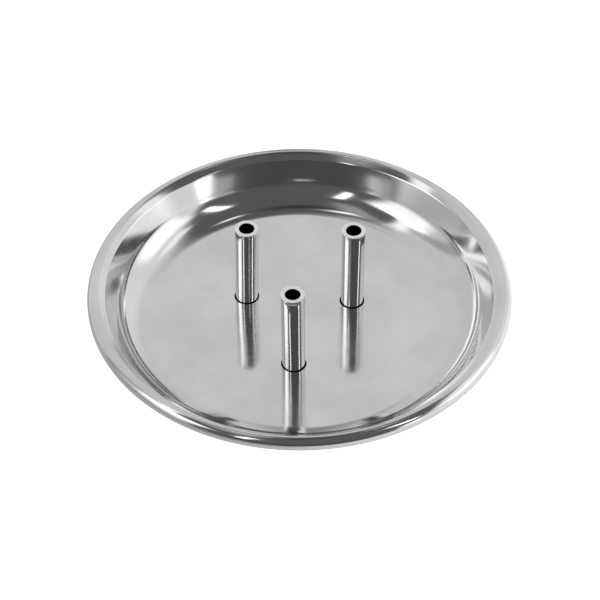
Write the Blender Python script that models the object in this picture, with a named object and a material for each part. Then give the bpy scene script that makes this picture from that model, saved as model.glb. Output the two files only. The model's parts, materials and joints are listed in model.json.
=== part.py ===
"""Round stainless dish with a turned-down lip that lifts off over three upright tubes.

The tubes are shouldered posts, nutted through a round base plate on three rubber feet.
The dish has a clearance hole round each post and rests on three silicone rings.
Metres, +Z up. The origin is on the table, under the middle of the dish; -Y is the front.
"""

from math import cos, pi, radians, sin

import bmesh
import bpy

# ---------------------------------------------------------------- driving dimensions
MM = 0.001
GAP = 0.3 * MM                      # clearance kept between touching pieces

# dish
DISH_DIAMETER = 220.0 * MM
SHEET = 1.0 * MM
FLOOR_RADIUS = 76.7 * MM            # where the flat floor meets the cove
COVE_RADIUS = 20.7 * MM
COVE_TURN = 63.3                    # the cove ends at the pressed line half way up the wall
CREASE_RADIUS = 100.7 * MM          # where the wall turns over into the lip
CREASE_HEIGHT = 20.6 * MM
LIP_HEIGHT = 22.7 * MM              # top of the lip above the floor
LIP_SLOPE = 28.5                    # rise of the lip towards its edge, in degrees
CURL_RADIUS = 4.4 * MM              # outside of the turned-down edge
DISH_SEGMENTS = 64

# posts
POST_DIAMETER = 12.0 * MM
POST_BORE = 8.0 * MM
POST_HEIGHT = 50.0 * MM             # above the dish floor
POST_CIRCLE = 32.0 * MM             # radius of the circle the posts stand on
POST_TURN = radians(-3.4)           # the triangle is turned a little in the dish
STAND_MIDDLE = (-1.0 * MM, -1.5 * MM)   # the stand sits a little off the dish's middle
POST_CHAMFER = 0.35 * MM
POST_SPIGOT = 10.0 * MM             # shouldered lower end, through the base plate
POST_HOLE = 13.6 * MM               # clearance hole in the dish floor
ROUND_SEGMENTS = 24
SMALL_SEGMENTS = 16

# base
FOOT_HEIGHT = 12.0 * MM
FOOT_DIAMETER = 18.0 * MM
FOOT_RECESS = 10.0 * MM
FOOT_RECESS_DEPTH = 6.0 * MM
FOOT_CIRCLE = 49.0 * MM
BASE_RADIUS = 60.0 * MM
BASE_THICKNESS = 3.0 * MM
RING_THICKNESS = 2.0 * MM
RING_DIAMETER = 22.0 * MM
WASHER_DIAMETER = 18.0 * MM
WASHER_THICKNESS = 1.0 * MM
NUT_ACROSS_FLATS = 14.0 * MM
NUT_THICKNESS = 4.0 * MM
SPIGOT_BELOW_NUT = 1.5 * MM
SCREW_DIAMETER = 4.0 * MM
SCREW_HEAD = 8.0 * MM
SCREW_HEAD_HEIGHT = 2.6 * MM

# ---------------------------------------------------------------- derived levels
BASE_BOTTOM = FOOT_HEIGHT + GAP
BASE_TOP = BASE_BOTTOM + BASE_THICKNESS
RING_BOTTOM = BASE_TOP + GAP
RING_TOP = RING_BOTTOM + RING_THICKNESS
DISH_BOTTOM = RING_TOP + GAP
FLOOR_TOP = DISH_BOTTOM + SHEET
POST_TOP = FLOOR_TOP + POST_HEIGHT
WASHER_BOTTOM = BASE_BOTTOM - GAP - WASHER_THICKNESS
NUT_BOTTOM = WASHER_BOTTOM - GAP - NUT_THICKNESS
SPIGOT_BOTTOM = NUT_BOTTOM - SPIGOT_BELOW_NUT
SPIGOT_HOLE = POST_SPIGOT + 2 * GAP
SCREW_HOLE = SCREW_DIAMETER + 2 * GAP


def clear_scene():
    for obj in list(bpy.data.objects):
        bpy.data.objects.remove(obj, do_unlink=True)


def material(name, colour, roughness, metallic):
    mat = bpy.data.materials.new(name)
    mat.use_nodes = True
    shader = mat.node_tree.nodes["Principled BSDF"]
    shader.inputs["Base Color"].default_value = (*colour, 1.0)
    shader.inputs["Roughness"].default_value = roughness
    shader.inputs["Metallic"].default_value = metallic
    return mat


def place(name, mesh, mat, location=(0, 0, 0), parent=None):
    obj = bpy.data.objects.new(name, mesh)
    bpy.context.scene.collection.objects.link(obj)
    obj.location = location
    obj.parent = parent
    if mat.name not in mesh.materials:
        mesh.materials.append(mat)
    return obj


def finish(bm, name, sharp=35.0):
    bmesh.ops.recalc_face_normals(bm, faces=bm.faces)
    mesh = bpy.data.meshes.new(name)
    bm.to_mesh(mesh)
    bm.free()
    mesh.shade_smooth()
    mesh.set_sharp_from_angle(angle=radians(sharp))
    return mesh


def turned(name, profile, segments):
    """Mesh of a closed (radius, height) outline turned about Z; radius 0 points close it."""
    bm = bmesh.new()
    rings = []
    for radius, height in profile:
        if radius < 1e-9:
            rings.append([bm.verts.new((0, 0, height))])
            continue
        ring = []
        for step in range(segments):
            angle = 2 * pi * step / segments
            ring.append(bm.verts.new((radius * cos(angle), radius * sin(angle), height)))
        rings.append(ring)
    closed = all(len(ring) > 1 for ring in rings)
    pairs = list(zip(rings, rings[1:]))
    if closed:
        pairs.append((rings[-1], rings[0]))
    for low, high in pairs:
        for step in range(segments):
            after = (step + 1) % segments
            if len(low) == 1 and len(high) == 1:
                continue
            if len(low) == 1:
                bm.faces.new((low[0], high[step], high[after]))
            elif len(high) == 1:
                bm.faces.new((low[step], low[after], high[0]))
            else:
                bm.faces.new((low[step], low[after], high[after], high[step]))
    return finish(bm, name)


def flat_ring(name, outer, inner, low, high):
    """Turned flat ring between two heights."""
    outline = [(inner, low), (outer, low), (outer, high), (inner, high)]
    return turned(name, outline, ROUND_SEGMENTS)


def arc(centre, radius, start, end, steps):
    """Points on an arc in the (radius, height) plane, angles in degrees."""
    points = []
    for step in range(steps + 1):
        angle = radians(start + (end - start) * step / steps)
        points.append((centre[0] + radius * cos(angle), centre[1] + radius * sin(angle)))
    return points


def offset(points, distance):
    """The same open outline moved sideways by a distance, to its right."""
    moved = []
    for index, point in enumerate(points):
        before = points[max(index - 1, 0)]
        after = points[min(index + 1, len(points) - 1)]
        along = (after[0] - before[0], after[1] - before[1])
        length = (along[0] ** 2 + along[1] ** 2) ** 0.5
        normal = (along[1] / length, -along[0] / length)
        moved.append((point[0] + normal[0] * distance, point[1] + normal[1] * distance))
    return moved


def dish_section():
    """Inner surface of the dish from the edge of the flat floor out over the lip."""
    cove = arc((FLOOR_RADIUS, COVE_RADIUS), COVE_RADIUS, -90, COVE_TURN - 90, 6)
    crease = (CREASE_RADIUS, CREASE_HEIGHT)
    curl_centre = (DISH_DIAMETER / 2 - CURL_RADIUS, LIP_HEIGHT - CURL_RADIUS)
    curl = arc(curl_centre, CURL_RADIUS, 90 + LIP_SLOPE, 0, 8)
    return cove + [crease] + curl


def dish_mesh():
    inner = dish_section()
    outer = offset(inner, SHEET)
    outline = [(0.0, 0.0)] + inner + outer[::-1] + [(0.0, -SHEET)]
    return turned("dish_turned", outline, DISH_SEGMENTS)


def circle_points(radius, turn):
    """Three places evenly round the middle of the stand, the first one at the front."""
    places = []
    for index in range(3):
        angle = radians(-90 + 120 * index) + turn
        x = STAND_MIDDLE[0] + radius * cos(angle)
        y = STAND_MIDDLE[1] + radius * sin(angle)
        places.append((x, y))
    return places


def drill(target, name, diameter, places, low, high):
    """Cut round holes through a plate with one hidden cutter per hole."""
    for index, (x, y) in enumerate(places):
        bm = bmesh.new()
        bmesh.ops.create_cone(
            bm,
            cap_ends=True,
            segments=ROUND_SEGMENTS,
            radius1=diameter / 2,
            radius2=diameter / 2,
            depth=high - low,
        )
        mesh = bpy.data.meshes.new(f"{name}_cutter")
        bm.to_mesh(mesh)
        bm.free()
        cutter = bpy.data.objects.new(f"{name}_cutter_{index}", mesh)
        bpy.context.scene.collection.objects.link(cutter)
        cutter.location = (x, y, (low + high) / 2)
        cutter.parent = target.parent
        cutter.hide_render = True
        cutter.display_type = "WIRE"
        cut = target.modifiers.new(f"{name}_{index}", "BOOLEAN")
        cut.operation = "DIFFERENCE"
        cut.solver = "EXACT"
        cut.object = cutter


def post_mesh():
    """Tube with a shoulder on the base plate and a thinner end for the nut."""
    body = POST_DIAMETER / 2
    spigot = POST_SPIGOT / 2
    bore = POST_BORE / 2
    shoulder = BASE_TOP + GAP
    outline = [
        (bore, SPIGOT_BOTTOM),
        (spigot - POST_CHAMFER, SPIGOT_BOTTOM),
        (spigot, SPIGOT_BOTTOM + POST_CHAMFER),
        (spigot, shoulder),
        (body, shoulder),
        (body, POST_TOP - POST_CHAMFER),
        (body - POST_CHAMFER, POST_TOP),
        (bore + POST_CHAMFER, POST_TOP),
        (bore, POST_TOP - POST_CHAMFER),
    ]
    return turned("post_turned", outline, ROUND_SEGMENTS)


def nut_mesh():
    """Thin hexagon nut: a hexagonal prism with a round hole."""
    bm = bmesh.new()
    corner = NUT_ACROSS_FLATS / 2 / cos(pi / 6)
    sides = 24
    loops = []
    for height in (NUT_BOTTOM, NUT_BOTTOM + NUT_THICKNESS):
        hexagon = []
        bore = []
        for step in range(sides):
            angle = 2 * pi * step / sides
            within = (angle % (pi / 3)) - pi / 6
            flat = corner * cos(pi / 6) / cos(within)
            hexagon.append(bm.verts.new((flat * cos(angle), flat * sin(angle), height)))
            radius = SPIGOT_HOLE / 2
            bore.append(bm.verts.new((radius * cos(angle), radius * sin(angle), height)))
        loops.append((hexagon, bore))
    (low_out, low_in), (high_out, high_in) = loops
    for step in range(sides):
        after = (step + 1) % sides
        bm.faces.new((low_out[step], low_out[after], high_out[after], high_out[step]))
        bm.faces.new((low_in[after], low_in[step], high_in[step], high_in[after]))
        bm.faces.new((high_out[step], high_out[after], high_in[after], high_in[step]))
        bm.faces.new((low_out[after], low_out[step], low_in[step], low_in[after]))
    bmesh.ops.dissolve_limit(
        bm, angle_limit=radians(1), verts=bm.verts, edges=bm.edges, delimit=set()
    )
    return finish(bm, "nut_hexagon")


def foot_mesh():
    """Tapered rubber foot, recessed from below for the screw head."""
    top = FOOT_DIAMETER / 2
    outline = [
        (FOOT_RECESS / 2, 0.0),
        (top - 1.4 * MM, 0.0),
        (top - 0.7 * MM, 0.6 * MM),
        (top, FOOT_HEIGHT - 0.6 * MM),
        (top - 0.5 * MM, FOOT_HEIGHT),
        (SCREW_HOLE / 2, FOOT_HEIGHT),
        (SCREW_HOLE / 2, FOOT_RECESS_DEPTH),
        (FOOT_RECESS / 2, FOOT_RECESS_DEPTH),
    ]
    return turned("foot_turned", outline, ROUND_SEGMENTS)


def screw_mesh():
    """Domed screw that holds a foot up against the base plate."""
    head_top = FOOT_RECESS_DEPTH - GAP
    head = SCREW_HEAD / 2
    shank = SCREW_DIAMETER / 2
    outline = [
        (0.0, head_top - SCREW_HEAD_HEIGHT),
        (head * 0.62, head_top - SCREW_HEAD_HEIGHT),
        (head * 0.9, head_top - SCREW_HEAD_HEIGHT * 0.72),
        (head, head_top - SCREW_HEAD_HEIGHT * 0.3),
        (head, head_top),
        (shank, head_top),
        (shank, BASE_TOP - 0.5 * MM),
        (0.0, BASE_TOP - 0.5 * MM),
    ]
    return turned("screw_turned", outline, SMALL_SEGMENTS)


def build():
    clear_scene()
    polished = material("polished_stainless_dish", (0.66, 0.66, 0.66), 0.14, 1.0)
    turned_steel = material("turned_stainless_post", (0.64, 0.64, 0.64), 0.18, 1.0)
    brushed = material("brushed_stainless_base", (0.52, 0.52, 0.52), 0.34, 1.0)
    nut_steel = material("stainless_nut", (0.5, 0.5, 0.5), 0.3, 1.0)
    washer_steel = material("stainless_washer", (0.55, 0.55, 0.55), 0.28, 1.0)
    screw_steel = material("stainless_screw", (0.5, 0.5, 0.5), 0.3, 1.0)
    silicone = material("black_silicone", (0.03, 0.03, 0.03), 0.6, 0.0)
    rubber = material("black_rubber", (0.025, 0.025, 0.025), 0.75, 0.0)

    posts = circle_points(POST_CIRCLE, POST_TURN)
    feet = circle_points(FOOT_CIRCLE, POST_TURN + pi / 3)
    names = ("front", "right", "left")

    lift = bpy.data.objects.new("tray_lift_axis", None)
    bpy.context.scene.collection.objects.link(lift)
    lift.location = (0, 0, FLOOR_TOP)

    dish = place("tray_pan", dish_mesh(), polished, parent=lift)
    drill(dish, "post_hole", POST_HOLE, posts, -3 * MM, 3 * MM)

    base_outline = [
        (0.0, BASE_BOTTOM),
        (BASE_RADIUS - 0.5 * MM, BASE_BOTTOM),
        (BASE_RADIUS, BASE_BOTTOM + 0.5 * MM),
        (BASE_RADIUS, BASE_TOP - 0.5 * MM),
        (BASE_RADIUS - 0.5 * MM, BASE_TOP),
        (0.0, BASE_TOP),
    ]
    base_mesh = turned("base_turned", base_outline, DISH_SEGMENTS)
    base = place("base_plate", base_mesh, brushed, (*STAND_MIDDLE, 0))
    margin = 2 * MM
    drill(base, "spigot_hole", SPIGOT_HOLE, posts, BASE_BOTTOM - margin, BASE_TOP + margin)
    drill(base, "screw_hole", SCREW_HOLE, feet, BASE_BOTTOM - margin, BASE_TOP + margin)

    ring_bore = POST_DIAMETER / 2 + GAP
    nut_bore = SPIGOT_HOLE / 2
    post = post_mesh()
    ring = flat_ring("ring_turned", RING_DIAMETER / 2, ring_bore, RING_BOTTOM, RING_TOP)
    washer_top = WASHER_BOTTOM + WASHER_THICKNESS
    washer = flat_ring("washer_turned", WASHER_DIAMETER / 2, nut_bore, WASHER_BOTTOM, washer_top)
    nut = nut_mesh()
    for name, (x, y) in zip(names, posts):
        place(f"post_{name}", post, turned_steel, (x, y, 0))
        place(f"seat_ring_{name}", ring, silicone, (x, y, 0))
        place(f"post_washer_{name}", washer, washer_steel, (x, y, 0))
        place(f"post_nut_{name}", nut, nut_steel, (x, y, 0))

    foot = foot_mesh()
    screw = screw_mesh()
    for name, (x, y) in zip(("right", "back", "left"), feet):
        place(f"foot_{name}", foot, rubber, (x, y, 0))
        place(f"foot_screw_{name}", screw, screw_steel, (x, y, 0))


build()
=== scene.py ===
"""Looks for the round steel dish: fine meshes, metal and rubber materials, studio, camera."""

import json
from math import cos, pi, radians, sin, tan

import bmesh
import bpy
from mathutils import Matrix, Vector

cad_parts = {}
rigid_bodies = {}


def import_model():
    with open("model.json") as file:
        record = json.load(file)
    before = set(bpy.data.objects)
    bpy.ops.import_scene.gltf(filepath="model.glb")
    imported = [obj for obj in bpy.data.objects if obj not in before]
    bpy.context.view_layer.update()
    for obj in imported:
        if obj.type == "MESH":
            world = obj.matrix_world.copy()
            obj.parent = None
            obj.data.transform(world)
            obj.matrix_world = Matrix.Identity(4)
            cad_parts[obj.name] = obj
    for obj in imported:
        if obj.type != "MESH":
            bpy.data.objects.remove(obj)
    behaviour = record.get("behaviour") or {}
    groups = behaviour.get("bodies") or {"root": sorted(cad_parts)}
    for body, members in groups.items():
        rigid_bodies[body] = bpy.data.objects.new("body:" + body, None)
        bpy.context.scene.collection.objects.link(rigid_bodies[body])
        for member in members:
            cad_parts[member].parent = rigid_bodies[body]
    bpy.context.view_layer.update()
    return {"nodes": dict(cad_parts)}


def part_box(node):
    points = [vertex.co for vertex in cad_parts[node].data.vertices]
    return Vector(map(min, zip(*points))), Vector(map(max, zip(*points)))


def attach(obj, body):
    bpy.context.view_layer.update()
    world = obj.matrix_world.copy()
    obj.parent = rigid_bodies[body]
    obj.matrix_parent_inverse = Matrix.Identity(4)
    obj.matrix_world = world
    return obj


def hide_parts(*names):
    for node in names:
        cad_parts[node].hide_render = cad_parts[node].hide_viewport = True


MM = 0.001

for old in list(bpy.data.objects):
    bpy.data.objects.remove(old, do_unlink=True)
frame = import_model()

# ---------------------------------------------------------------- sizes from the frame
pan_low, pan_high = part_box("tray_pan")
post_low, post_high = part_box("post_front")
base_low, base_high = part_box("base_plate")
ring_low, ring_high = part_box("seat_ring_front")
washer_low, washer_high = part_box("post_washer_front")
nut_low, nut_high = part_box("post_nut_front")
foot_low, foot_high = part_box("foot_back")
screw_low, screw_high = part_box("foot_screw_back")

DISH_RADIUS = 110.0 * MM
SHEET = 1.0 * MM
FLOOR_TOP = pan_low.z + SHEET
LIP_HEIGHT = pan_high.z - FLOOR_TOP
COVE_RADIUS = 20.7 * MM
COVE_TURN = 63.3
FLOOR_RADIUS = 76.7 * MM
CREASE_RADIUS = 100.7 * MM
CREASE_HEIGHT = 20.6 * MM
LIP_SLOPE = 28.5
CURL_RADIUS = 4.4 * MM
POST_RADIUS = 6.0 * MM
BORE_RADIUS = 4.0 * MM
SPIGOT_RADIUS = 5.0 * MM
HOLE_RADIUS = 6.6 * MM        # in the dish, round each post
RING_BORE = 6.3 * MM          # in the silicone rings
SPIGOT_HOLE = 5.3 * MM        # in the base, washers and nuts
SCREW_HOLE = 2.3 * MM         # in the base and the feet
NUT_HALF_FLAT = 7.0 * MM
POSTS = ("front", "right", "left")
FEET = ("right", "back", "left")


def centre_of(node):
    low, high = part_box(node)
    return ((low.x + high.x) / 2, (low.y + high.y) / 2)


# ---------------------------------------------------------------- mesh helpers
def add_object(name, mesh, location=(0, 0, 0)):
    obj = bpy.data.objects.new(name, mesh)
    bpy.context.scene.collection.objects.link(obj)
    obj.location = location
    return obj


def finish_mesh(bm, name, sharp=30.0):
    bmesh.ops.recalc_face_normals(bm, faces=bm.faces)
    mesh = bpy.data.meshes.new(name)
    bm.to_mesh(mesh)
    bm.free()
    mesh.shade_smooth()
    mesh.set_sharp_from_angle(angle=radians(sharp))
    return mesh


def turned(name, outline, segments, sharp=30.0):
    """Closed (radius, height) outline turned about Z. Points at radius 0 close the solid."""
    bm = bmesh.new()
    rings = []
    for radius, height in outline:
        if radius < 1e-9:
            rings.append([bm.verts.new((0, 0, height))])
            continue
        ring = []
        for step in range(segments):
            angle = 2 * pi * step / segments
            ring.append(bm.verts.new((radius * cos(angle), radius * sin(angle), height)))
        rings.append(ring)
    pairs = list(zip(rings, rings[1:]))
    if all(len(ring) > 1 for ring in rings):
        pairs.append((rings[-1], rings[0]))
    for low, high in pairs:
        if len(low) == 1 and len(high) == 1:
            continue
        for step in range(segments):
            after = (step + 1) % segments
            if len(low) == 1:
                bm.faces.new((low[0], high[step], high[after]))
            elif len(high) == 1:
                bm.faces.new((low[step], low[after], high[0]))
            else:
                bm.faces.new((low[step], low[after], high[after], high[step]))
    return finish_mesh(bm, name, sharp)


def arc(centre, radius, start, end, steps):
    """Points on an arc in the (radius, height) plane, angles in degrees."""
    points = []
    for step in range(steps + 1):
        angle = radians(start + (end - start) * step / steps)
        points.append((centre[0] + radius * cos(angle), centre[1] + radius * sin(angle)))
    return points


def rounded(corners, steps=5):
    """Outline through (radius, height, fillet) corners, each rounded by its fillet length."""
    points = []
    count = len(corners)
    for index, (x, y, fillet) in enumerate(corners):
        here = Vector((x, y))
        if fillet <= 0:
            points.append((x, y))
            continue
        before = Vector(corners[index - 1][:2]) - here
        after = Vector(corners[(index + 1) % count][:2]) - here
        start = here + before.normalized() * min(fillet, before.length * 0.49)
        end = here + after.normalized() * min(fillet, after.length * 0.49)
        for step in range(steps + 1):
            t = step / steps
            point = start * (1 - t) ** 2 + here * 2 * t * (1 - t) + end * t ** 2
            points.append((point.x, point.y))
    return points


def subtract(obj, cutters, sharp=30.0):
    """Cut the cutters out of obj for good, then remove them."""
    for index, cutter in enumerate(cutters):
        cut = obj.modifiers.new(f"cut_{index}", "BOOLEAN")
        cut.operation = "DIFFERENCE"
        cut.solver = "EXACT"
        cut.object = cutter
    bpy.context.view_layer.update()
    graph = bpy.context.evaluated_depsgraph_get()
    mesh = bpy.data.meshes.new_from_object(obj.evaluated_get(graph))
    obj.modifiers.clear()
    obj.data = mesh
    mesh.shade_smooth()
    mesh.set_sharp_from_angle(angle=radians(sharp))
    for cutter in cutters:
        bpy.data.objects.remove(cutter, do_unlink=True)


def cylinder(name, radius, low, high, place=(0, 0), sides=96):
    outline = [(0.0, low), (radius, low), (radius, high), (0.0, high)]
    return add_object(name, turned(name, outline, sides), (place[0], place[1], 0))


# ---------------------------------------------------------------- node helpers
class Nodes:
    """Small builder that wires shader nodes from plain calls."""

    def __init__(self, tree):
        self.tree = tree
        tree.nodes.clear()

    def add(self, kind, inputs=None, **settings):
        node = self.tree.nodes.new(kind)
        for key, value in settings.items():
            setattr(node, key, value)
        for key, value in (inputs or {}).items():
            socket = node.inputs[key]
            if isinstance(value, bpy.types.NodeSocket):
                self.tree.links.new(value, socket)
            else:
                socket.default_value = value
        return node

    def math(self, operation, a, b=0.0, c=0.0):
        node = self.tree.nodes.new("ShaderNodeMath")
        node.operation = operation
        for socket, value in zip(node.inputs, (a, b, c)):
            if isinstance(value, bpy.types.NodeSocket):
                self.tree.links.new(value, socket)
            else:
                socket.default_value = value
        return node.outputs[0]

    def smooth(self, value, low, high, to_low=0.0, to_high=1.0):
        """Smooth step from to_low to to_high as value goes from low to high."""
        node = self.add(
            "ShaderNodeMapRange",
            {"Value": value, "From Min": low, "From Max": high},
            interpolation_type="SMOOTHSTEP",
        )
        node.inputs["To Min"].default_value = to_low
        node.inputs["To Max"].default_value = to_high
        return node.outputs["Result"]

    def noise(self, vector, scale, detail=3.0, roughness=0.5):
        node = self.add(
            "ShaderNodeTexNoise",
            {"Vector": vector, "Scale": scale, "Detail": detail, "Roughness": roughness},
        )
        return node.outputs["Fac"]

    def vector(self, x, y, z):
        return self.add("ShaderNodeCombineXYZ", {"X": x, "Y": y, "Z": z}).outputs[0]

    def split(self, vector):
        return self.add("ShaderNodeSeparateXYZ", {"Vector": vector}).outputs


# ---------------------------------------------------------------- materials
def steel(name, colour, roughness, grain, grain_bump, smudge=0.05, wave=0.0, ripple=0.0,
          ground_and_sheen_from=0.0, cloudy=0.035):
    """Polished or brushed stainless steel.

    grain is 'spun' for rings round the Z axis seen from above, 'turned' for rings along a
    tube, or 'brushed' for straight lines along X. wave and ripple are slow dents and the
    ripples round a tube's lower half, as bump distances. Level faces above the height given
    for the ground top are ground dull (rougher) and carry a painted highlight: a near-white tone on
    faces that point up.
    """
    mat = bpy.data.materials.new(name)
    mat.use_nodes = True
    n = Nodes(mat.node_tree)
    place = n.add("ShaderNodeTexCoord").outputs["Object"]
    x, y, z = n.split(place)
    radius = n.math("SQRT", n.math("ADD", n.math("MULTIPLY", x, x), n.math("MULTIPLY", y, y)))
    angle = n.math("ARCTAN2", y, x)
    if grain == "spun":
        lines = n.vector(n.math("MULTIPLY", radius, 900.0), n.math("MULTIPLY", angle, 1.2),
                         n.math("MULTIPLY", z, 900.0))
    elif grain == "turned":
        lines = n.vector(n.math("MULTIPLY", angle, 0.5), n.math("MULTIPLY", radius, 300.0),
                         n.math("MULTIPLY", z, 1300.0))
    else:
        lines = n.vector(n.math("MULTIPLY", x, 12.0), n.math("MULTIPLY", y, 1500.0),
                         n.math("MULTIPLY", z, 300.0))
    fine = n.noise(lines, 1.0, 2.0, 0.6)
    cloud = n.noise(place, 26.0, 5.0, 0.6)
    small_cloud = n.noise(place, 140.0, 3.0, 0.6)
    rough = n.math("ADD", n.math("MULTIPLY", cloud, smudge), roughness - smudge * 0.5)
    rough = n.math("ADD", rough, n.math("MULTIPLY", fine, smudge * 0.5))
    rough = n.math("MULTIPLY_ADD", small_cloud, smudge * 0.35, rough)
    tint = n.add("ShaderNodeMix", {"Factor": n.smooth(cloud, 0.3, 0.7)}, data_type="RGBA")
    tint.inputs["A"].default_value = (*(c * (1 - cloudy) for c in colour), 1)
    tint.inputs["B"].default_value = (*(min(c * (1 + cloudy), 1.0) for c in colour), 1)
    bump = n.add("ShaderNodeBump", {"Height": fine, "Strength": 1.0})
    bump.inputs["Distance"].default_value = grain_bump
    if wave:
        slow = n.noise(place, 18.0, 1.0, 0.4)
        waves = n.add("ShaderNodeBump",
                      {"Height": slow, "Normal": bump.outputs[0], "Strength": 1.0})
        waves.inputs["Distance"].default_value = wave
        bump = waves
    if ripple:
        bands = n.vector(n.math("MULTIPLY", angle, 1.1), 0.0, n.math("MULTIPLY", z, 620.0))
        low_half = n.smooth(z, 35.0 * MM, 52.0 * MM, 1.0, 0.25)
        ripples = n.add("ShaderNodeBump", {"Height": n.noise(bands, 1.0, 1.0, 0.5),
                                           "Normal": bump.outputs[0], "Strength": low_half})
        ripples.inputs["Distance"].default_value = ripple
        bump = ripples
    tone = tint.outputs["Result"]
    # painted highlight: up-facing level faces above the given height are lifted to a near-white
    # tone; only the extra roughness is the real ground finish
    if ground_and_sheen_from:
        up = n.split(n.add("ShaderNodeNewGeometry").outputs["True Normal"])[2]
        high = n.smooth(z, ground_and_sheen_from, ground_and_sheen_from + MM)
        ground_and_sheen = n.math("MULTIPLY", n.smooth(up, 0.8, 0.95), high)
        bright = n.add("ShaderNodeMix", {"Factor": ground_and_sheen, "A": tone}, data_type="RGBA")
        bright.inputs["B"].default_value = (0.93, 0.93, 0.93, 1)
        tone = bright.outputs["Result"]
        rough = n.math("MULTIPLY_ADD", ground_and_sheen, 0.22, rough)
    shader = n.add(
        "ShaderNodeBsdfPrincipled",
        {"Base Color": tone, "Roughness": rough, "Normal": bump.outputs[0]},
    )
    shader.inputs["Metallic"].default_value = 1.0
    n.add("ShaderNodeOutputMaterial", {"Surface": shader.outputs[0]})
    return mat


def rubber(name, colour, roughness):
    """Moulded rubber: fine grain, slightly dusty patches."""
    mat = bpy.data.materials.new(name)
    mat.use_nodes = True
    n = Nodes(mat.node_tree)
    place = n.add("ShaderNodeTexCoord").outputs["Object"]
    cloud = n.noise(place, 90.0, 4.0, 0.6)
    grain = n.noise(place, 2600.0, 2.0, 0.6)
    tint = n.add("ShaderNodeMix", {"Factor": n.smooth(cloud, 0.35, 0.75)}, data_type="RGBA")
    tint.inputs["A"].default_value = (*colour, 1)
    tint.inputs["B"].default_value = (*(c * 1.8 for c in colour), 1)
    rough = n.math("MULTIPLY_ADD", cloud, 0.15, roughness - 0.07)
    bump = n.add("ShaderNodeBump", {"Height": grain, "Strength": 0.6})
    bump.inputs["Distance"].default_value = 0.00006
    shader = n.add(
        "ShaderNodeBsdfPrincipled",
        {"Base Color": tint.outputs["Result"], "Roughness": rough, "Normal": bump.outputs[0]},
    )
    shader.inputs["Specular IOR Level"].default_value = 0.35
    n.add("ShaderNodeOutputMaterial", {"Surface": shader.outputs[0]})
    return mat


DISH_STEEL = steel("dish_polished_steel", (0.66, 0.66, 0.66), 0.075, "spun", 0.0000012,
                   smudge=0.06, wave=0.0004, cloudy=0.06)
POST_STEEL = steel("post_polished_steel", (0.66, 0.66, 0.66), 0.09, "turned", 0.000004,
                   smudge=0.05, ripple=0.00005, ground_and_sheen_from=62 * MM)
BASE_STEEL = steel("base_brushed_steel", (0.55, 0.55, 0.55), 0.3, "brushed", 0.000006, 0.1)
FASTENER_STEEL = steel("fastener_steel", (0.52, 0.52, 0.52), 0.24, "turned", 0.000004, 0.1)
SILICONE = rubber("black_silicone", (0.02, 0.02, 0.02), 0.5)
RUBBER = rubber("black_rubber", (0.018, 0.018, 0.018), 0.68)


def show(obj, mat, body, slot, *nodes):
    obj.data.materials.clear()
    obj.data.materials.append(mat)
    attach(obj, body)
    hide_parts(*nodes)


# ---------------------------------------------------------------- dish
def dish_profile():
    """Inner surface of the sheet from the floor out to the lip, heights from the floor."""
    floor = [(r * MM, 0.0) for r in (20, 45, 60, 72)]
    cove = arc((FLOOR_RADIUS, COVE_RADIUS), COVE_RADIUS, -90, COVE_TURN - 90, 32)
    curl_centre = (DISH_RADIUS - CURL_RADIUS, LIP_HEIGHT - CURL_RADIUS)
    curl = arc(curl_centre, CURL_RADIUS, 90 + LIP_SLOPE, -9, 44)
    step = rounded(
        [
            (*cove[-3], 0),
            (*cove[-1], 0.8 * MM),
            (CREASE_RADIUS, CREASE_HEIGHT, 0.45 * MM),
            (*curl[0], 0),
        ],
        6,
    )[1:-1]
    return floor + cove[:-2] + step + curl


def offset(points, distance):
    """The outline moved sideways by distance, for the sheet's other face."""
    moved = []
    for index, point in enumerate(points):
        before = Vector(points[max(index - 1, 0)])
        after = Vector(points[min(index + 1, len(points) - 1)])
        along = (after - before).normalized()
        moved.append((point[0] + along.y * distance, point[1] - along.x * distance))
    return moved


def make_dish():
    inner = dish_profile()
    outer = offset(inner, SHEET)
    outline = [(0.0, 0.0)] + inner + outer[::-1] + [(0.0, -SHEET)]
    dish = add_object("dish", turned("dish", outline, 360, 40.0), (0, 0, FLOOR_TOP))
    cutters = []
    for name in POSTS:
        x, y = centre_of(f"post_{name}")
        cutter = cylinder("cutter", HOLE_RADIUS, -4 * MM, 4 * MM, (x, y))
        cutter.location.z = FLOOR_TOP
        cutters.append(cutter)
    subtract(dish, cutters, 40.0)
    show(dish, DISH_STEEL, "tray", "dish_steel", "tray_pan")


# how far each tube's top is out of true to the right and to the back, and cut short
LEAN = {
    "front": (-0.5 * MM, -0.3 * MM, 0.0),
    "right": (0.3 * MM, 0.3 * MM, 0.0),
    "left": (0.55 * MM, -0.5 * MM, 1.0 * MM),
}


def thread(low, high):
    """Thread ridges up the spigot, as outline corners."""
    pitch = 1.0 * MM
    corners = []
    while low + pitch < high:
        corners += [(SPIGOT_RADIUS - 0.35 * MM, low, 0), (SPIGOT_RADIUS, low + pitch / 2, 0.1 * MM)]
        low += pitch
    return corners


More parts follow.
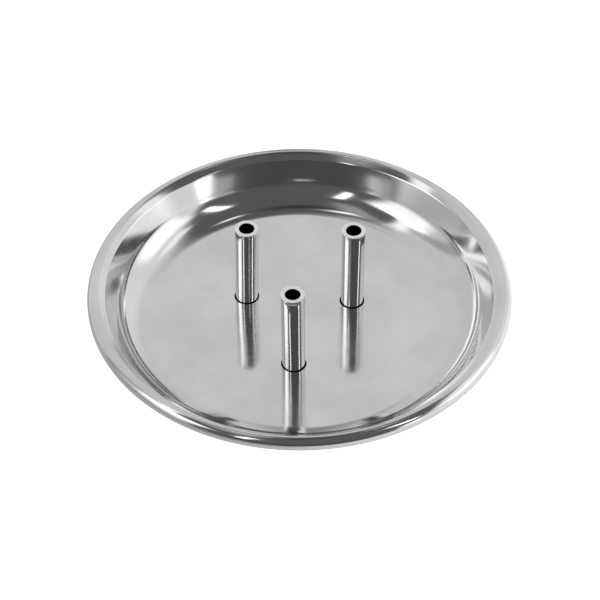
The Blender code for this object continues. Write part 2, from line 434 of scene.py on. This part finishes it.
def make_posts():
    shoulder = base_high.z + 0.3 * MM
    for name in POSTS:
        x, y = centre_of(f"post_{name}")
        edge = 0.35 * MM
        outline = rounded(
            [
                (BORE_RADIUS, post_low.z, edge),
                (SPIGOT_RADIUS - 0.3 * MM, post_low.z, edge),
                *thread(post_low.z + 0.5 * MM, base_low.z - 0.4 * MM),
                (SPIGOT_RADIUS, base_low.z, 0),
                (SPIGOT_RADIUS, shoulder, 0),
                (POST_RADIUS, shoulder, edge),
                (POST_RADIUS + 0.05 * MM, post_high.z - 2.2 * MM, 0.3 * MM),
                (POST_RADIUS - 0.05 * MM, post_high.z - 1.0 * MM, 0.2 * MM),
                (POST_RADIUS + 0.17 * MM, post_high.z - 0.45 * MM, 0.2 * MM),
                (POST_RADIUS + 0.18 * MM, post_high.z, 0.1 * MM),
                (BORE_RADIUS, post_high.z, 0.12 * MM),
            ],
            5,
        )
        tube = turned("post_tube", outline, 128)
        for vertex in tube.vertices:
            part_way = max(vertex.co.z - FLOOR_TOP, 0.0) / (post_high.z - FLOOR_TOP)
            lean_x, lean_y, shorter = LEAN[name]
            vertex.co.x += lean_x * part_way
            vertex.co.y += lean_y * part_way
            vertex.co.z -= shorter * part_way
        post = add_object(f"post_tube_{name}", tube, (x, y, 0))
        show(post, POST_STEEL, "stand", "post_steel", f"post_{name}")


# ---------------------------------------------------------------- base, fasteners, feet
def width_of(node):
    low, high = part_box(node)
    return high.x - low.x


def make_base():
    x, y = centre_of("base_plate")
    radius = width_of("base_plate") / 2
    outline = rounded(
        [
            (0.0, base_low.z, 0),
            (radius, base_low.z, 0.6 * MM),
            (radius, base_high.z, 0.6 * MM),
            (0.0, base_high.z, 0),
        ]
    )
    plate = add_object("base_disc", turned("base_disc", outline, 256), (x, y, 0))
    cutters = []
    for nodes, size in ((POSTS, SPIGOT_HOLE), (FEET, SCREW_HOLE)):
        for name in nodes:
            place = centre_of(f"post_{name}" if nodes is POSTS else f"foot_{name}")
            cutters.append(cylinder("cutter", size, base_low.z - MM, base_high.z + MM, place, 64))
    subtract(plate, cutters)
    show(plate, BASE_STEEL, "stand", "base_steel", "base_plate")


def make_ring(node, low, high, bore, edge, mat, slot):
    radius = width_of(node) / 2
    outline = rounded(
        [(bore, low.z, edge), (radius, low.z, edge), (radius, high.z, edge), (bore, high.z, edge)], 6
    )
    ring = add_object(f"fine_{node}", turned(node, outline, 96), (*centre_of(node), 0))
    show(ring, mat, "stand", slot, node)


def nut_mesh(flat, bore, low, high):
    """Hexagon nut, both faces chamfered, with a countersunk hole."""
    bm = bmesh.new()
    steps = 144
    face = flat * 0.94
    sink = 0.45 * MM
    rings = []
    for radius, height in (
        (bore, low + sink), (bore + sink, low), (face, low), (None, low),
        (None, high), (face, high), (bore + sink, high), (bore, high - sink),
    ):
        ring = []
        for step in range(steps):
            angle = 2 * pi * step / steps
            reach, level = radius, height
            if radius is None:
                reach = flat / cos((angle % (pi / 3)) - pi / 6)
                drop = (reach - face) * tan(radians(30))
                level = height + drop if height == low else height - drop
            ring.append(bm.verts.new((reach * cos(angle), reach * sin(angle), level)))
        rings.append(ring)
    for inner, outer in zip(rings, rings[1:] + rings[:1]):
        for step in range(steps):
            after = (step + 1) % steps
            bm.faces.new((inner[step], inner[after], outer[after], outer[step]))
    return finish_mesh(bm, "nut", 25.0)


def make_nuts():
    for name in POSTS:
        node = f"post_nut_{name}"
        nut = add_object(f"fine_{node}", nut_mesh(NUT_HALF_FLAT, SPIGOT_HOLE, nut_low.z, nut_high.z))
        nut.location = (*centre_of(node), 0)
        show(nut, FASTENER_STEEL, "stand", "fastener_steel", node)


def make_feet():
    rib = 0.22 * MM
    ribs = []
    for step in range(7):
        level = 3.0 * MM + step * 1.0 * MM
        wide = 8.3 * MM + 0.7 * MM * (level / foot_high.z) - 0.1 * MM
        ribs += [(wide, level, 0.1 * MM), (wide - rib, level + 0.3 * MM, 0.1 * MM),
                 (wide, level + 0.6 * MM, 0.1 * MM)]
    outline = rounded(
        [
            (5.0 * MM, 0.0, 0.5 * MM),
            (8.0 * MM, 0.0, 0.8 * MM),
            (8.35 * MM, 1.6 * MM, 0.3 * MM),
            *ribs,
            (9.0 * MM, 10.8 * MM, 0.3 * MM),
            (9.0 * MM, foot_high.z, 0.5 * MM),
            (SCREW_HOLE, foot_high.z, 0),
            (SCREW_HOLE, 6.0 * MM, 0),
            (5.0 * MM, 6.0 * MM, 0),
        ],
        4,
    )
    for name in FEET:
        place = centre_of(f"foot_{name}")
        foot = add_object(f"fine_foot_{name}", turned("foot", outline, 96), (*place, 0))
        show(foot, RUBBER, "stand", "rubber", f"foot_{name}")


def make_screws():
    head_radius = 4.0 * MM
    shank_radius = 2.0 * MM
    head_top = 5.7 * MM
    rim = head_top - 0.6 * MM
    squash = (rim - screw_low.z) / head_radius
    dome = [(r, rim + h * squash) for r, h in arc((0.0, 0.0), head_radius, -90, 0, 14)]
    dome[0] = (0.0, screw_low.z)
    shank = rounded(
        [
            (head_radius, head_top, 0.2 * MM),
            (shank_radius, head_top, 0),
            (shank_radius, screw_high.z, 0.4 * MM),
        ],
        4,
    )
    outline = dome + shank + [(0.0, screw_high.z)]
    for index, name in enumerate(FEET):
        place = centre_of(f"foot_screw_{name}")
        screw = add_object(f"fine_foot_screw_{name}", turned("screw", outline, 64), (*place, 0))
        socket = cylinder("cutter", 1.45 * MM, screw_low.z - MM, screw_low.z + 1.4 * MM, place, 6)
        socket.rotation_euler.z = radians(17 + 23 * index)
        subtract(screw, [socket])
        show(screw, FASTENER_STEEL, "stand", "fastener_steel", f"foot_screw_{name}")


make_dish()
make_posts()
make_base()
for post_name in POSTS:
    make_ring(f"seat_ring_{post_name}", ring_low, ring_high, RING_BORE, 0.45 * MM,
              SILICONE, "silicone")
    make_ring(f"post_washer_{post_name}", washer_low, washer_high, SPIGOT_HOLE, 0.2 * MM,
              FASTENER_STEEL, "fastener_steel")
make_nuts()
make_feet()
make_screws()

CAD_LOOKS = {"tray": DISH_STEEL, "post": POST_STEEL, "base": BASE_STEEL,
             "seat_ring": SILICONE, "foot": RUBBER}
for node_name, obj in frame["nodes"].items():
    kind = node_name.rsplit("_", 1)[0]
    if obj.type == "MESH":
        obj.data.materials.clear()
        obj.data.materials.append(CAD_LOOKS.get(kind, FASTENER_STEEL))

# ---------------------------------------------------------------- floor and studio
FLOOR_SIZE = 8.0


def make_floor():
    bm = bmesh.new()
    bmesh.ops.create_grid(bm, x_segments=1, y_segments=1, size=FLOOR_SIZE)
    mesh = bpy.data.meshes.new("floor")
    bm.to_mesh(mesh)
    bm.free()
    floor = add_object("floor", mesh)
    mat = bpy.data.materials.new("pale_floor")
    mat.use_nodes = True
    n = Nodes(mat.node_tree)
    path = n.add("ShaderNodeLightPath")
    white = n.add("ShaderNodeEmission", {"Color": (1, 1, 1, 1), "Strength": 0.8})
    paper = n.add("ShaderNodeBsdfDiffuse", {"Color": (0.85, 0.85, 0.85, 1)})
    lit = n.add("ShaderNodeAddShader")
    mat.node_tree.links.new(white.outputs[0], lit.inputs[0])
    mat.node_tree.links.new(paper.outputs[0], lit.inputs[1])
    x, y, z = n.split(n.add("ShaderNodeTexCoord").outputs["Object"])
    # painted light: for rays other than the camera's, the floor glows with a painted gradient,
    # brighter towards +x and +y, so the steel shows a painted reflection of a lit room floor; the
    # camera sees it plain white
    glow = n.math("ADD", n.smooth(x, -0.3, 0.3, -0.15, 0.5), n.smooth(y, -0.3, 0.1, 0.5, 0.66))
    bounce = n.add("ShaderNodeEmission", {"Color": (1, 1, 1, 1), "Strength": glow})
    mix = n.add("ShaderNodeMixShader", {"Fac": path.outputs["Is Camera Ray"]})
    mat.node_tree.links.new(bounce.outputs[0], mix.inputs[1])
    mat.node_tree.links.new(lit.outputs[0], mix.inputs[2])
    n.add("ShaderNodeOutputMaterial", {"Surface": mix.outputs[0]})
    mesh.materials.append(mat)


def heading(bearing, elevation):
    """Unit vector. Bearing 0 is +Y and 90 is +X, in degrees."""
    a, e = radians(bearing), radians(elevation)
    return Vector((sin(a) * cos(e), cos(a) * cos(e), sin(e)))


def softbox(n, ray, bearing, elevation, width, height, blur, roll=0.0):
    """0 to 1 mask of a rectangular card far away, rolled about its own middle."""
    ahead = heading(bearing, elevation)
    level = heading(bearing + 90, 0)
    rise = level.cross(ahead)
    side = level * cos(radians(roll)) + rise * sin(radians(roll))
    up = rise * cos(radians(roll)) - level * sin(radians(roll))

    def along(axis):
        node = n.add("ShaderNodeVectorMath", {0: ray, 1: tuple(axis)}, operation="DOT_PRODUCT")
        return node.outputs["Value"]

    depth = along(ahead)
    front = n.math("MAXIMUM", depth, 0.02)
    mask = n.math("GREATER_THAN", depth, 0.02)
    for axis, size in ((side, width), (up, height)):
        reach = n.math("ABSOLUTE", n.math("DIVIDE", along(axis), front))
        half = tan(radians(size / 2))
        edge = n.smooth(reach, half * (1 - blur), half * (1 + blur), 1.0, 0.0)
        mask = n.math("MULTIPLY", mask, edge)
    return mask


def below_edge(n, ray, bearing, elevation, soft):
    """0 to 1 mask of what is under a long straight level edge; its highest point is given."""
    normal = heading(bearing, elevation - 90)
    node = n.add("ShaderNodeVectorMath", {0: ray, 1: tuple(normal)}, operation="DOT_PRODUCT")
    half = sin(radians(soft))
    return n.smooth(node.outputs["Value"], -half, half)


# bearing, elevation, width, height, edge blur, roll, brightness
CARDS = [
    (0, 45, 54, 18, 0.5, 0, 0.8),
    (-98, 50, 58, 6, 0.5, 51, 1.5),
    (-111, 34, 30, 32, 0.35, 0, 1.45),
    (-107, 44, 24, 15, 0.35, 0, 2.4),
    (88, 24, 32, 30, 0.35, 0, 1.6),
    (72, 51, 20, 8, 0.4, 0, 1.25),
    (127, 15, 10, 9, 0.3, 0, 2.0),
    (-149, 48, 4, 22, 0.35, 0, 3.2),
    (119, 48, 5, 20, 0.35, 0, 3.0),
    (37, 70, 3, 4, 0.5, 0, 2.0),
    (-28, 74, 7, 4, 0.5, 0, 1.8),
    (-85, 76, 26, 9, 0.6, 0, 0.42),
]
DARK_CARDS = [
    (-79, 26, 10, 54, 0.5, 0, 0.38),
    (-96, 4, 52, 16, 0.6, 0, 0.35),
    (19, 5, 12, 12, 0.6, 0, 0.4),
    (0, 82, 14, 12, 0.8, 0, 0.6),
    (180, 14, 70, 26, 0.5, 0, 0.35),
]
ROOM_DARK = 0.13
ROOM_LIGHT = 0.76
ROOM_RIGHT = 0.94


def make_world():
    world = bpy.data.worlds.new("studio")
    bpy.context.scene.world = world
    world.use_nodes = True
    n = Nodes(world.node_tree)
    ray = n.add("ShaderNodeTexCoord").outputs["Generated"]
    x, y, z = n.split(ray)
    # two light walls meet behind the dish; overhead and the camera's side are dark
    left = n.math("MULTIPLY", below_edge(n, ray, -40, 66, 4), n.smooth(x, 0.03, -0.12))
    right = n.math("MULTIPLY", below_edge(n, ray, 45, 58, 5), n.smooth(x, -0.05, 0.08))
    walls = n.math("MAXIMUM", left, right)
    horizon = n.smooth(z, 0.0, 0.2, 0.42, ROOM_DARK)
    light = n.math("MULTIPLY_ADD", walls, ROOM_LIGHT - ROOM_DARK, horizon)
    far_right = n.math("MULTIPLY", right, n.smooth(x, 0.3, 0.62))
    light = n.math("MULTIPLY_ADD", far_right, ROOM_RIGHT - ROOM_LIGHT, light)
    for *card, roll, dim in DARK_CARDS:
        mask = softbox(n, ray, *card, roll)
        light = n.math("MULTIPLY", light, n.math("MULTIPLY_ADD", mask, -dim, 1.0))
    for *card, roll, strength in CARDS:
        mask = softbox(n, ray, *card, roll)
        more = n.math("MAXIMUM", n.math("SUBTRACT", strength, light), 0.0)
        light = n.math("MULTIPLY_ADD", mask, more, light)
    room = n.add("ShaderNodeBackground", {"Color": (1, 1, 1, 1), "Strength": light})
    plain = n.add("ShaderNodeBackground", {"Color": (1, 1, 1, 1), "Strength": 1.0})
    path = n.add("ShaderNodeLightPath")
    mix = n.add("ShaderNodeMixShader", {"Fac": path.outputs["Is Camera Ray"]})
    world.node_tree.links.new(room.outputs[0], mix.inputs[1])
    world.node_tree.links.new(plain.outputs[0], mix.inputs[2])
    n.add("ShaderNodeOutputWorld", {"Surface": mix.outputs[0]})


make_floor()
make_world()

# ---------------------------------------------------------------- camera
CAMERA_ELEVATION = 44.7
CAMERA_DISTANCE = 1.43
CAMERA_LENS = 165.6
AIM_HEIGHT = 20.2 * MM
AIM_DROP = 5.3 * MM
AIM_RIGHT = 0.3 * MM


def make_camera():
    data = bpy.data.cameras.new("camera")
    camera = bpy.data.objects.new("camera", data)
    bpy.context.scene.collection.objects.link(camera)
    tilt = radians(CAMERA_ELEVATION)
    back = Vector((0, -cos(tilt), sin(tilt)))
    up = Vector((0, sin(tilt), cos(tilt)))
    aim = Vector((AIM_RIGHT, 0, FLOOR_TOP + AIM_HEIGHT)) - up * AIM_DROP
    camera.location = aim + back * CAMERA_DISTANCE
    camera.rotation_mode = "QUATERNION"
    camera.rotation_quaternion = (-back).to_track_quat("-Z", "Y")
    data.sensor_width = 36.0
    data.lens = CAMERA_LENS
    data.clip_start = 0.05
    data.clip_end = 100.0
    bpy.context.scene.camera = camera


make_camera()
bpy.context.scene.view_settings.view_transform = "Standard"
bpy.context.scene.view_settings.look = "None"
